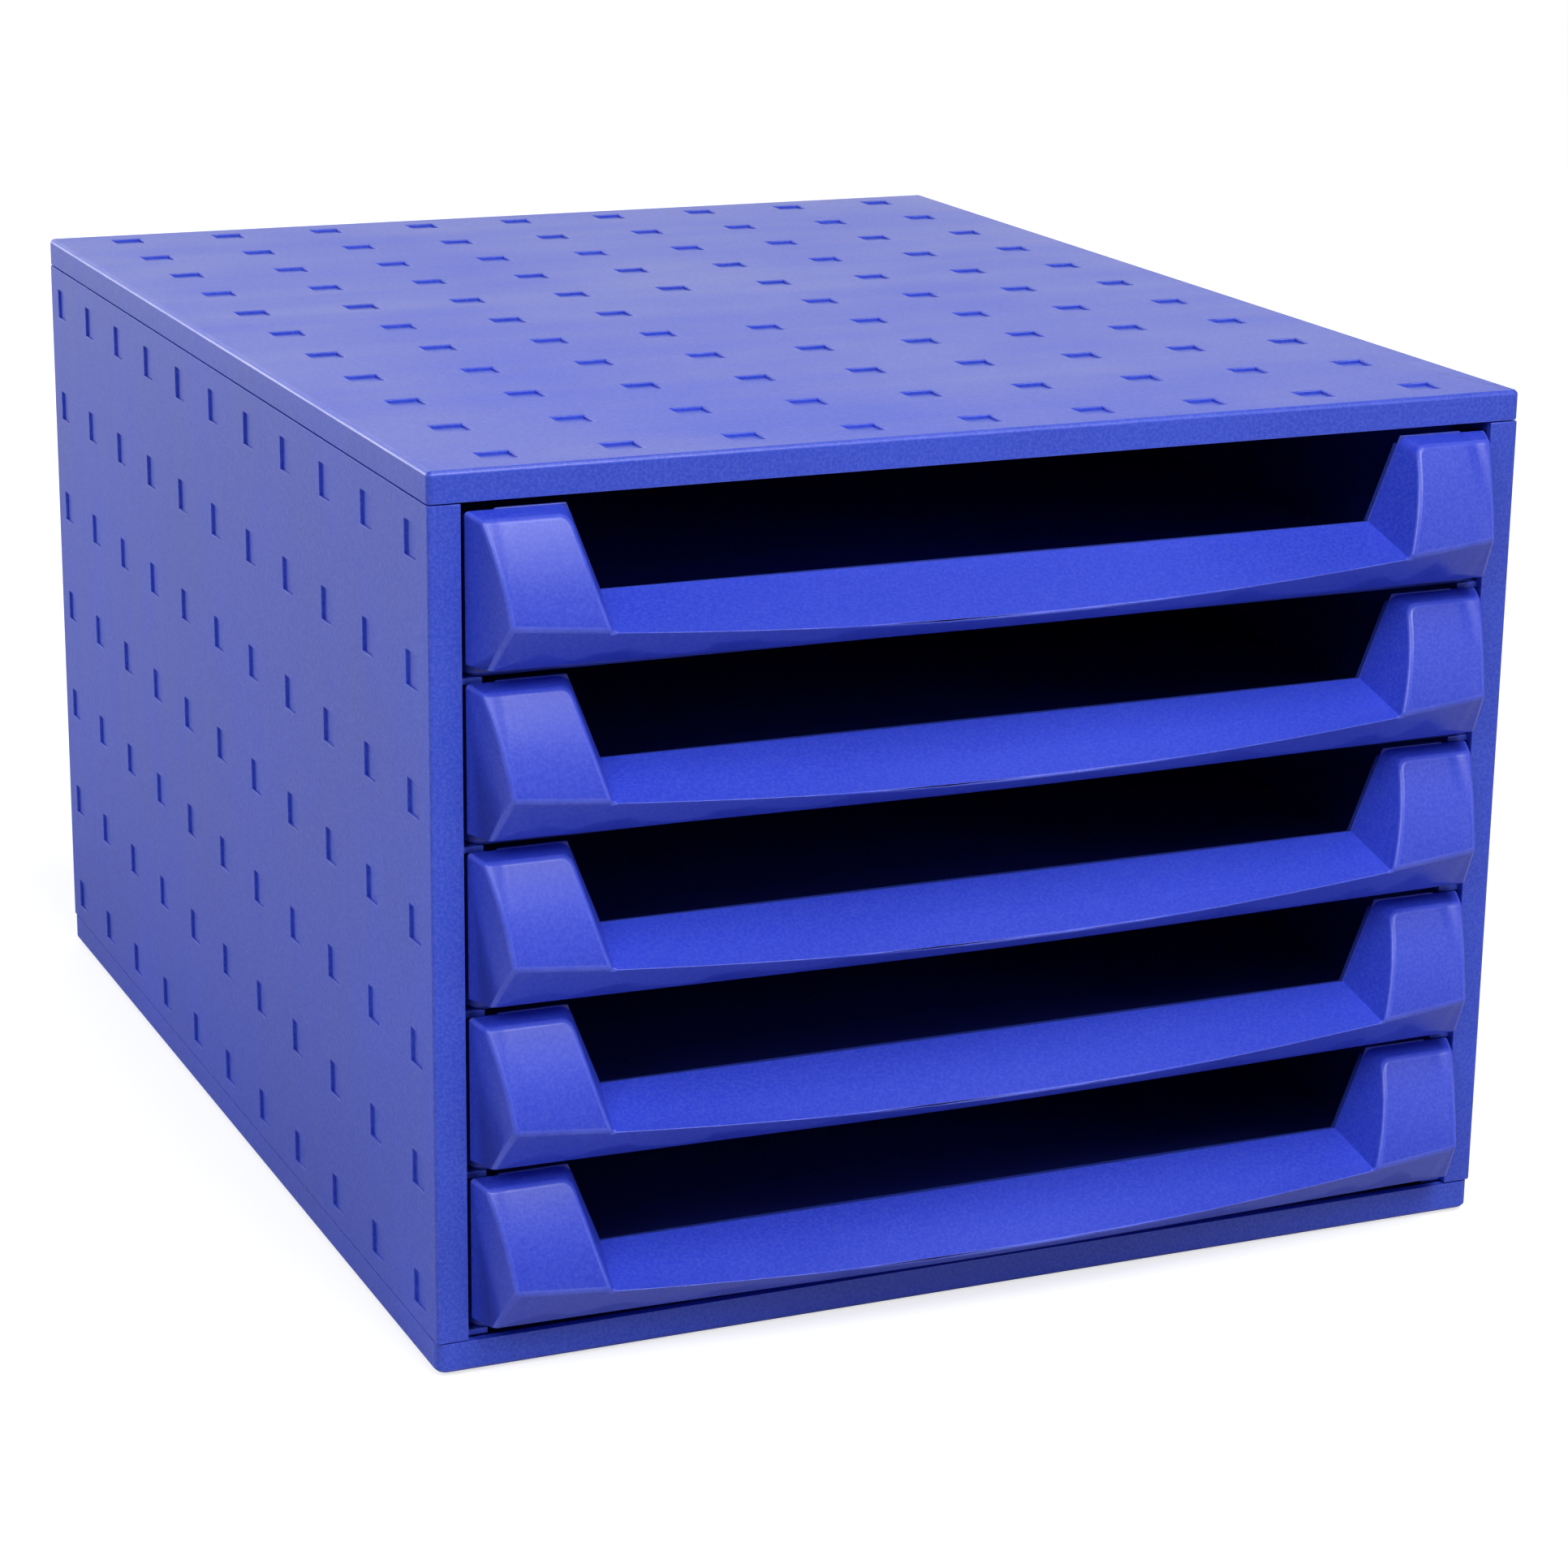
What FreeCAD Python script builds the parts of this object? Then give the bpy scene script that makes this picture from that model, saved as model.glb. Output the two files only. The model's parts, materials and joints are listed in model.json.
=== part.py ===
import FreeCAD, Part

import math
import os

import Sketcher

# Desktop drawer unit for documents, in millimetres. Five open-fronted trays slide on runners
# inside a casing of five moulded panels that stand on four pads.
# X runs to the right, Y to the back and Z up. The origin is the bottom centre of the whole unit,
# with its drawers shut.

document = FreeCAD.newDocument("desktop_drawer_unit")
sheet = document.addObject("Spreadsheet::Sheet", "sizes")


class Size:
    """A length that remembers its formula, so that what is built from it is bound to the sheet."""

    def __init__(self, value, words):
        self.value = value
        self.words = words

    def __add__(self, other):
        return Size(self.value + number(other), f"({self.words} + {formula(other)})")

    def __radd__(self, other):
        return self + other

    def __sub__(self, other):
        return Size(self.value - number(other), f"({self.words} - {formula(other)})")

    def __rsub__(self, other):
        return Size(number(other) - self.value, f"({formula(other)} - {self.words})")

    def __mul__(self, other):
        return Size(self.value * number(other), f"({self.words} * {formula(other)})")

    def __rmul__(self, other):
        return self * other

    def __truediv__(self, other):
        return Size(self.value / number(other), f"({self.words} / {formula(other)})")

    def __neg__(self):
        return Size(-self.value, f"(0 - {self.words})")


def number(length):
    """The plain number of a length."""
    return length.value if isinstance(length, Size) else float(length)


def formula(length):
    """The text of a length, in the words of the sheet."""
    return length.words if isinstance(length, Size) else repr(length)


def size(name, value, note):
    """Writes one driving dimension on its own row of the sheet."""
    size.row += 1
    sheet.set(f"A{size.row}", name)
    sheet.set(f"B{size.row}", str(value))
    sheet.set(f"C{size.row}", note)
    sheet.setAlias(f"B{size.row}", name)
    return Size(value, f"sizes.{name}")


size.row = 0

# Casing
casing_width = size("casing_width", 284.0, "across the side panels")
casing_depth = size("casing_depth", 349.0, "front plane to back plane, without the drawers")
casing_height = size("casing_height", 217.0, "underside to top, without the pads")
skin = size("skin", 2.4, "wall of every casing panel")
rim_wall = size("rim_wall", 2.4, "wall of the panels' rims")
plate_edge = size("plate_edge", 7.5, "height of the rim round the top and bottom panels")
post_width = size("post_width", 7.8, "width of a side panel's front edge")
seam = size("seam", 0.3, "open joint between two panels")
top_corner_radius = size("top_corner_radius", 1.5, "upright corners of the top panel")
foot_corner_radius = size("foot_corner_radius", 3.0, "upright corners of the bottom panel")
edge_bevel = size("edge_bevel", 0.8, "bevel round the outer faces of the top and bottom panels")
edge_radius = size("edge_radius", 1.0, "rounding of the side panels' upright edges")
rib_wall = size("rib_wall", 1.8, "ribs inside the panels")
rib_rise = size("rib_rise", 3.6, "height of the ribs inside the panels")
PLATE_RIBS = 3
SIDE_RIBS = 3
tongue_length = size("tongue_length", 36.0, "tongues that lock the panels together")
tongue_wall = size("tongue_wall", 2.0, "thickness of a tongue")
tongue_rise = size("tongue_rise", 4.2, "height of a tongue above the side panel's end")
back_wall = size("back_wall", 2.4, "thickness of the back panel")
fit_gap = size("fit_gap", 0.2, "clearance of pieces that are clipped together")

# Square marks sunk in the top and the sides
mark_side = size("mark_side", 8.3, "side of one square")
mark_depth = size("mark_depth", 0.8, "depth of one square")
mark_pitch_across = size("mark_pitch_across", 30.3, "from square to square across the top")
mark_pitch_along = size("mark_pitch_along", 32.35, "from square to square along the depth")
mark_pitch_up = size("mark_pitch_up", 30.4, "from square to square up the sides")
mark_centre_height = size("mark_centre_height", 107.9, "middle level of the side's squares")
MARK_COLUMNS = 9
MARK_ROWS = 11
MARK_LEVELS = 7

# Drawers
DRAWERS = 5
drawer_pitch = size("drawer_pitch", 39.8, "from drawer to drawer")
drawer_base = size("drawer_base", 9.6, "lowest tray's underside above the casing's underside")
drawer_gap = size("drawer_gap", 1.6, "between a tray's side and the side panel's front edge")
tray_wall = size("tray_wall", 2.0, "walls of a tray")
tray_floor = size("tray_floor", 2.0, "floor of a tray")
tray_height = size("tray_height", 36.8, "side walls of a tray")
tray_brow = size("tray_brow", 2.0, "how much higher the front wall is beside the mouth")
tray_brow_wall = size("tray_brow_wall", 0.8, "thickness of that higher stretch")
tray_brow_end = size("tray_brow_end", 6.6, "end of the higher stretch from the tray's side")
tray_corner = size("tray_corner", 5.0, "upright corners of a tray, outside")
tray_back_gap = size("tray_back_gap", 0.8, "shut tray to the back panel")
tray_foot_bevel = size("tray_foot_bevel", 0.9, "bevel along the tray's foot")
runner_wall = size("runner_wall", 1.5, "thickness of a runner")
runner_overlap = size("runner_overlap", 4.0, "how far a runner reaches under the tray")
runner_gap = size("runner_gap", 0.3, "tray's underside above its runner")
stop_setback = size("stop_setback", 50.0, "stop lug's back in front of the tray's back wall")
stop_length = size("stop_length", 6.0, "stop lug along the tray")
stop_rise = size("stop_rise", 6.0, "height of the stop lug")
stop_reach = size("stop_reach", 2.8, "how far the stop lug stands out from the tray's side")

# Drawer front, a hollow moulding that is clipped on the tray
front_setback = size("front_setback", 0.85, "back of the moulding behind the casing's front plane")
front_wall = size("front_wall", 2.0, "wall of the moulding")
front_gap = size("front_gap", 1.1, "between the moulding and the side panel's front edge")
front_foot = size("front_foot", 3.4, "moulding's underside above the tray's underside")
cheek_height = size("cheek_height", 38.5, "top of a cheek at its back, above the tray's underside")
brow_height = size("brow_height", 37.2, "where a cheek's top meets its face")
brow_reach = size("brow_reach", 4.9, "brow in front of the casing")
belly_height = size("belly_height", 24.7, "middle of the face's arc")
belly_reach = size("belly_reach", 11.6, "belly in front of the casing")
nose_height = size("nose_height", 7.4, "lip's crest at the middle")
nose_reach = size("nose_reach", 16.4, "crest in front of the casing")
crest_land = size("crest_land", 0.5, "blunt edge along the crest")
crest_sag = size("crest_sag", 3.9, "how much lower the crest is at the middle than at the cheeks")
crest_end_sag = size("crest_end_sag", 10.3, "the same against the moulding's ends")
lip_height = size("lip_height", 17.7, "lip's straight back edge above the tray's underside")
mouth_half_width = size("mouth_half_width", 100.6, "half of the mouth at the lip's back edge")
mouth_splay = size("mouth_splay", 8.1, "how much wider the mouth is at the cheeks' top")
mouth_flare = size("mouth_flare", 5.7, "how much wider the mouth is at the nose")
keel_reach = size("keel_reach", 10.5, "foot of the lower slope in front of the casing, middle")
keel_end_reach = size("keel_end_reach", 7.0, "the same at the moulding's ends")
facet_cut = size("facet_cut", 6.1, "how far the outer facet comes in at the nose")

# A slanting wall measured level or upright is longer than its thickness, by these factors
FACE_SLANT = 1.08
LIP_SLANT = 1.17
KEEL_SLANT = 1.2
FACET_SLANT = 1.07

# Clips that hold the moulding on the tray
clip_width = size("clip_width", 12.0, "clip across the drawer")
clip_wall = size("clip_wall", 2.0, "thickness of a clip")
clip_hook = size("clip_hook", 1.2, "rise of a clip's hook")
clip_hook_length = size("clip_hook_length", 1.8, "hook behind the tray's wall")
cheek_clip_place = size("cheek_clip_place", 117.0, "clips in the cheeks from the middle")
lip_clip_place = size("lip_clip_place", 52.0, "clips in the lip from the middle")
lip_clip_height = size("lip_clip_height", 9.0, "underside of the clips in the lip")

# Pads under the bottom panel
pad_side = size("pad_side", 15.0, "side of a pad")
pad_corner = size("pad_corner", 2.5, "how much of a pad's corners is cut off")
pad_proud = size("pad_proud", 1.0, "how far a pad stands out of the bottom panel")
pad_seat = size("pad_seat", 1.2, "depth of the seat for a pad")
pad_inset = size("pad_inset", 24.0, "centre of a pad from the casing's edges")

document.recompute()

# Places that follow from the sizes
half_width = casing_width / 2
half_depth = casing_depth / 2
post_inner = half_width - post_width
skin_inner = half_width - skin
side_foot = plate_edge + seam
side_head = casing_height - plate_edge - seam
casing_front = (nose_reach - casing_depth) / 2
back_rear = casing_depth - rim_wall - fit_gap
back_front = back_rear - back_wall
tray_half_width = post_inner - drawer_gap
tray_rear = back_front - tray_back_gap
tray_inner_front = front_setback + tray_wall
runner_inner = tray_half_width - runner_overlap
front_half_width = post_inner - front_gap
front_depth = nose_reach + front_setback
splay = mouth_splay / (cheek_height - lip_height)
cheek_clip_height = belly_height - clip_wall / 2
tongue_outer = skin_inner - fit_gap
tray_cut = tray_wall * 4
overrun = front_depth / 10
facet_length = cheek_height * 3


def origin_part(body, role):
    """A body's own plane or axis."""
    for feature in body.Origin.OriginFeatures:
        if feature.Role == role:
            return feature
    raise ValueError(role)


def bind(item, prop, length):
    """Ties a property of a feature to a length."""
    item.setExpression(prop, formula(length))


def place(body, x, y, z):
    """Puts a body at its place in the unit."""
    for axis, length in (("x", x), ("y", y), ("z", z)):
        bind(body, f"Placement.Base.{axis}", length)


def new_body(label):
    """An empty body with its own label."""
    body = document.addObject("PartDesign::Body", label)
    body.Label = label
    return body


def blank_sketch(body, name, role, height):
    """A sketch on one of the body's planes, or at a height above it."""
    sketch = body.newObject("Sketcher::SketchObject", name)
    sketch.AttachmentSupport = [(origin_part(body, role), "")]
    sketch.MapMode = "FlatFace"
    bind(sketch, "AttachmentOffset.Base.z", height)
    return sketch


def tie(sketch, shape, point, across, up):
    """Holds a point of a sketch at its place from the sketch's origin."""
    for direction, length in (("DistanceX", across), ("DistanceY", up)):
        rule = sketch.addConstraint(
            Sketcher.Constraint(direction, -1, 1, shape, point, number(length))
        )
        bind(sketch, f"Constraints[{rule}]", length)


def outline(body, name, role, corners, height=0, bulges=None):
    """A closed outline through corners, with an arc through a middle point where bulges has one."""
    sketch = blank_sketch(body, name, role, height)
    bulges = bulges or {}
    vectors = [FreeCAD.Vector(number(across), number(up), 0) for across, up in corners]
    ends = []
    for index, start in enumerate(vectors):
        end = vectors[(index + 1) % len(vectors)]
        forward = True
        if index in bulges:
            middle = FreeCAD.Vector(*(number(length) for length in bulges[index]), 0)
            forward = (middle - start).cross(end - middle).z > 0
            arc = Part.Arc(start, middle, end) if forward else Part.Arc(end, middle, start)
            shape = sketch.addGeometry(arc, False)
        else:
            shape = sketch.addGeometry(Part.LineSegment(start, end), False)
        ends.append((shape, 1, 2) if forward else (shape, 2, 1))
    for index, (shape, first, _) in enumerate(ends):
        last_shape, _, last = ends[index - 1]
        sketch.addConstraint(Sketcher.Constraint("Coincident", last_shape, last, shape, first))
        tie(sketch, shape, first, *corners[index])
    for index, middle in bulges.items():
        vector = FreeCAD.Vector(number(middle[0]), number(middle[1]), 0)
        helper = sketch.addGeometry(Part.Point(vector), True)
        sketch.addConstraint(Sketcher.Constraint("PointOnObject", helper, 1, ends[index][0]))
        tie(sketch, helper, 1, *middle)
    return sketch


def rectangle(body, name, role, left, right, low, high, height=0):
    """A plain rectangle between two values each way."""
    corners = [(left, low), (right, low), (right, high), (left, high)]
    return outline(body, name, role, corners, height)


def rounded_rectangle(body, name, role, left, right, low, high, radius, height=0):
    """A rectangle whose corners are quarter circles."""
    sketch = blank_sketch(body, name, role, height)
    x0, x1, y0, y1, r = (number(length) for length in (left, right, low, high, radius))
    stations = [
        ((x0 + r, y0), (x1 - r, y0), (x1 - r, y0 + r), -90),
        ((x1, y0 + r), (x1, y1 - r), (x1 - r, y1 - r), 0),
        ((x1 - r, y1), (x0 + r, y1), (x0 + r, y1 - r), 90),
        ((x0, y1 - r), (x0, y0 + r), (x0 + r, y0 + r), 180),
    ]
    lines = []
    arcs = []
    for start, end, centre, angle in stations:
        line = Part.LineSegment(FreeCAD.Vector(*start, 0), FreeCAD.Vector(*end, 0))
        lines.append(sketch.addGeometry(line, False))
        circle = Part.Circle(FreeCAD.Vector(*centre, 0), FreeCAD.Vector(0, 0, 1), r)
        turn = (math.radians(angle), math.radians(angle + 90))
        arcs.append(sketch.addGeometry(Part.ArcOfCircle(circle, *turn), False))
    for index, arc in enumerate(arcs):
        following = lines[(index + 1) % len(lines)]
        sketch.addConstraint(Sketcher.Constraint("Tangent", lines[index], 2, arc, 1))
        sketch.addConstraint(Sketcher.Constraint("Tangent", arc, 2, following, 1))
        rule = sketch.addConstraint(Sketcher.Constraint("Radius", arc, r))
        bind(sketch, f"Constraints[{rule}]", radius)
    rows = (
        ("Horizontal", "DistanceY", low),
        ("Vertical", "DistanceX", right),
        ("Horizontal", "DistanceY", high),
        ("Vertical", "DistanceX", left),
    )
    for line, (lie, direction, length) in zip(lines, rows):
        sketch.addConstraint(Sketcher.Constraint(lie, line))
        rule = sketch.addConstraint(
            Sketcher.Constraint(direction, -1, 1, line, 1, number(length))
        )
        bind(sketch, f"Constraints[{rule}]", length)
    return sketch


def cut_square(body, name, across, up, side, height=0):
    """A square about its centre, with the pad's cut corners, on the body's level plane."""
    half = side / 2
    flat = half - pad_corner
    corners = [
        (across - flat, up - half), (across + flat, up - half),
        (across + half, up - flat), (across + half, up + flat),
        (across + flat, up + half), (across - flat, up + half),
        (across - half, up + flat), (across - half, up - flat),
    ]
    return outline(body, name, "XY_Plane", corners, height)


def extrude(kind, body, name, sketch, length, reverse, both_ways):
    """Thickens a sketch by a length, in one direction or half of it each way."""
    feature = body.newObject(kind, name)
    feature.Profile = sketch
    bind(feature, "Length", length)
    feature.Reversed = reverse
    feature.SideType = "Symmetric" if both_ways else "One side"
    return feature


def pad(body, name, sketch, length, reverse=False, both_ways=False):
    """Adds a thickened sketch."""
    return extrude("PartDesign::Pad", body, name, sketch, length, reverse, both_ways)


def pocket(body, name, sketch, length, reverse=False, both_ways=False):
    """Takes a thickened sketch out, against the sketch's own direction unless reversed."""
    return extrude("PartDesign::Pocket", body, name, sketch, length, reverse, both_ways)


def loft(kind, body, name, first, second):
    """A straight-lined form between two sketches, added or taken out."""
    feature = body.newObject(kind, name)
    feature.Profile = first
    feature.Sections = [(second, [""])]
    feature.Ruled = True
    return feature


def line_pattern(body, name, originals, role, spacing, count):
    """Repeats features along one of the body's axes, at a spacing."""
    feature = body.newObject("PartDesign::LinearPattern", name)
    if originals:
        feature.Originals = originals
    feature.Direction = (origin_part(body, role), [""])
    feature.Mode = "Spacing"
    bind(feature, "Offset", spacing)
    feature.Occurrences = count
    body.Tip = feature
    return feature


def mirror(body, name, originals, role):
    """Repeats features on the other side of one of the body's planes."""
    feature = body.newObject("PartDesign::Mirrored", name)
    if originals:
        feature.Originals = originals
    feature.MirrorPlane = (origin_part(body, role), [""])
    body.Tip = feature
    return feature


def grid_pattern(body, name, feature, runs, mirror_role=None):
    """Repeats a feature in rows, and the rows on the other side of a plane where one is given."""
    grid = body.newObject("PartDesign::MultiTransform", name)
    grid.Originals = [feature]
    steps = [line_pattern(body, f"{name}_along_{run[0][0]}", None, *run) for run in runs]
    if mirror_role:
        steps.append(mirror(body, f"{name}_mirror", None, mirror_role))
    grid.Transformations = steps
    body.Tip = grid
    return grid


def dress_edges(kind, prop, body, name, length, wanted):
    """Rounds or bevels the edges of the body so far that pass a test."""
    document.recompute()
    base = body.Tip
    names = [f"Edge{index}" for index, edge in enumerate(base.Shape.Edges, 1) if wanted(edge)]
    if not names:
        raise ValueError(f"{name} finds no edge")
    feature = body.newObject(kind, name)
    feature.Base = (base, names)
    bind(feature, prop, length)
    return feature


def round_edges(body, name, radius, wanted):
    """Rounds the edges that pass a test."""
    return dress_edges("PartDesign::Fillet", "Radius", body, name, radius, wanted)


def bevel_edges(body, name, width, wanted):
    """Bevels the edges that pass a test."""
    return dress_edges("PartDesign::Chamfer", "Size", body, name, width, wanted)


def near(value, length, reach=0.02):
    """Whether a plain number is at a length."""
    return abs(value - number(length)) < reach


def make_plate(label, corner_radius):
    """The hollow plate that the top and the bottom panel start from: skin above, open below."""
    body = new_body(label)
    plan = rounded_rectangle(body, f"{label}_plan", "XY_Plane",
                             -half_width, half_width, -half_depth, half_depth, corner_radius)
    pad(body, f"{label}_block", plan, plate_edge)
    across = half_width - rim_wall
    along = half_depth - rim_wall
    hollow = rectangle(body, f"{label}_hollow_plan", "XY_Plane", -across, across, -along, along)
    pocket(body, f"{label}_hollow", hollow, plate_edge - skin, reverse=True)
    add_plate_ribs(body, label, across, along)
    return body


def add_plate_ribs(body, label, across, along):
    """Low ribs inside the plate, clear of the back panel."""
    foot = plate_edge - skin - rib_rise
    half_rib = rib_wall / 2
    spacing = casing_depth / (PLATE_RIBS + 1)
    plan = rectangle(body, f"{label}_cross_rib_plan", "XY_Plane",
                     -across, across, -spacing - half_rib, half_rib - spacing, foot)
    rib = pad(body, f"{label}_cross_rib", plan, rib_rise)
    line_pattern(body, f"{label}_cross_ribs", [rib], "Y_Axis", spacing, PLATE_RIBS)
    spacing = casing_width / (PLATE_RIBS + 1)
    plan = rectangle(body, f"{label}_long_rib_plan", "XY_Plane",
                     -spacing - half_rib, half_rib - spacing,
                     -along, back_front - half_depth - fit_gap, foot)
    rib = pad(body, f"{label}_long_rib", plan, rib_rise)
    line_pattern(body, f"{label}_long_ribs", [rib], "X_Axis", spacing, PLATE_RIBS)


def bevel_plate(body, name, corner_radius):
    """Bevels the plate's outer edge all the way round."""
    def wanted(edge):
        middle = edge.CenterOfMass
        beside = abs(middle.x) > number(half_width - corner_radius)
        before = abs(middle.y) > number(half_depth - corner_radius)
        return near(middle.z, plate_edge) and (beside or before)
    bevel_edges(body, name, edge_bevel, wanted)


def mark_plan(body, name, role, across, up, height):
    """One square mark's outline about its centre."""
    half = mark_side / 2
    return rectangle(body, name, role, across - half, across + half, up - half, up + half, height)


def make_top_panel():
    """The top: sunk squares in rows, with the middle one left out."""
    body = make_plate("top_panel", top_corner_radius)
    place(body, 0, casing_front + half_depth, pad_proud + casing_height - plate_edge)
    first_row = -mark_pitch_along * (MARK_ROWS // 2)
    columns = MARK_COLUMNS // 2
    plan = mark_plan(body, "mark_plan", "XY_Plane",
                     -mark_pitch_across * columns, first_row, plate_edge)
    mark = pocket(body, "mark", plan, mark_depth)
    grid_pattern(body, "marks", mark,
                 [("X_Axis", mark_pitch_across, columns), ("Y_Axis", mark_pitch_along, MARK_ROWS)],
                 "YZ_Plane")
    plan = mark_plan(body, "middle_mark_plan", "XY_Plane", 0, first_row, plate_edge)
    mark = pocket(body, "middle_mark", plan, mark_depth)
    grid_pattern(body, "middle_marks", mark,
                 [("Y_Axis", mark_pitch_along, MARK_ROWS // 2)], "XZ_Plane")
    bevel_plate(body, "top_edge", top_corner_radius)
    return body


def make_bottom_panel():
    """The bottom: the same plate turned over, with a seat for each pad."""
    body = make_plate("bottom_panel", foot_corner_radius)
    body.Placement.Rotation = FreeCAD.Rotation(FreeCAD.Vector(0, 1, 0), 180)
    place(body, 0, casing_front + half_depth, pad_proud + plate_edge)
    across = half_width - pad_inset
    along = half_depth - pad_inset
    plan = cut_square(body, "seat_plan", -across, -along, pad_side + fit_gap * 2, plate_edge)
    seat = pocket(body, "seat", plan, pad_seat)
    grid_pattern(body, "seats", seat, [("X_Axis", across * 2, 2)], "XZ_Plane")
    bevel_plate(body, "foot_edge", foot_corner_radius)
    return body


def make_side_panel(label, hand):
    """One side: a skin with a deep rim, a runner for each drawer, ribs, tongues and marks."""
    body = new_body(label)
    place(body, 0, casing_front, pad_proud)
    right = hand > 0
    plan = rectangle(body, f"{label}_plan", "XY_Plane",
                     post_inner * hand, half_width * hand, 0, casing_depth, side_foot)
    pad(body, f"{label}_block", plan, side_head - side_foot)
    hollow = rectangle(body, f"{label}_hollow_plan", "YZ_Plane",
                       rim_wall, casing_depth - rim_wall,
                       side_foot + rim_wall, side_head - rim_wall, post_inner * hand)
    pocket(body, f"{label}_hollow", hollow, post_width - skin, reverse=right)

    spacing = casing_depth / (SIDE_RIBS + 1)
    half_rib = rib_wall / 2
    plan = rectangle(body, f"{label}_rib_plan", "XY_Plane",
                     (skin_inner - rib_rise) * hand, skin_inner * hand,
                     spacing - half_rib, spacing + half_rib, side_foot)
    rib = pad(body, f"{label}_rib", plan, side_head - side_foot)
    line_pattern(body, f"{label}_ribs", [rib], "Y_Axis", spacing, SIDE_RIBS)

    plan = rectangle(body, f"{label}_runner_plan", "XY_Plane",
                     runner_inner * hand, skin_inner * hand, rim_wall, back_front - fit_gap,
                     drawer_base - runner_gap - runner_wall)
    runner = pad(body, f"{label}_runner", plan, runner_wall)
    line_pattern(body, f"{label}_runners", [runner], "Z_Axis", drawer_pitch, DRAWERS)

    start = spacing / 2
    half_length = tongue_length / 2
    for end, foot in (("lower", side_foot - tongue_rise), ("upper", side_head - rim_wall)):
        plan = rectangle(body, f"{label}_{end}_tongue_plan", "XY_Plane",
                         (tongue_outer - tongue_wall) * hand, tongue_outer * hand,
                         start - half_length, start + half_length, foot)
        tongue = pad(body, f"{label}_{end}_tongue", plan, tongue_rise + rim_wall)
        line_pattern(body, f"{label}_{end}_tongues", [tongue], "Y_Axis", spacing, SIDE_RIBS + 1)

    plan = mark_plan(body, f"{label}_mark_plan", "YZ_Plane",
                     half_depth - mark_pitch_along * (MARK_ROWS // 2),
                     mark_centre_height - mark_pitch_up * (MARK_LEVELS // 2), half_width * hand)
    mark = pocket(body, f"{label}_mark", plan, mark_depth, reverse=not right)
    grid_pattern(body, f"{label}_marks", mark,
                 [("Y_Axis", mark_pitch_along, MARK_ROWS), ("Z_Axis", mark_pitch_up, MARK_LEVELS)])

    def wanted(edge):
        middle = edge.CenterOfMass
        upright = edge.Length > number(side_head - side_foot - mark_side)
        outside = near(abs(middle.x), half_width)
        return upright and outside and (near(middle.y, 0) or near(middle.y, casing_depth))
    round_edges(body, f"{label}_edges", edge_radius, wanted)
    return body


def make_back_panel():
    """The back: a sheet held between the runners and the rear rims, with a tongue up and down."""
    body = new_body("back_panel")
    place(body, 0, casing_front + back_rear, pad_proud)
    wide = skin_inner - fit_gap
    narrow = post_inner - fit_gap
    foot = side_foot - tongue_rise
    shoulder = side_foot + rim_wall + fit_gap
    upper_shoulder = side_head - rim_wall - fit_gap
    head = side_head + tongue_rise
    corners = [
        (-narrow, foot), (narrow, foot), (narrow, shoulder), (wide, shoulder),
        (wide, upper_shoulder), (narrow, upper_shoulder), (narrow, head), (-narrow, head),
        (-narrow, upper_shoulder), (-wide, upper_shoulder), (-wide, shoulder), (-narrow, shoulder),
    ]
    plan = outline(body, "back_plan", "XZ_Plane", corners)
    pad(body, "back_sheet", plan, back_wall)
    return body


def make_pad(label, side, end):
    """One pad in its seat under the bottom panel."""
    body = new_body(label)
    across = (half_width - pad_inset) * side
    place(body, across, casing_front + half_depth + (half_depth - pad_inset) * end, 0)
    plan = cut_square(body, f"{label}_plan", 0, 0, pad_side)
    pad(body, f"{label}_block", plan, pad_proud + pad_seat)
    return body


def tray_plan(body, name, inset, height):
    """A tray's plan, or the plan of its inside at an inset."""
    side = tray_half_width - inset
    return rounded_rectangle(body, name, "XY_Plane", -side, side, front_setback + inset,
                             tray_rear - inset, tray_corner - inset, height)


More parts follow.
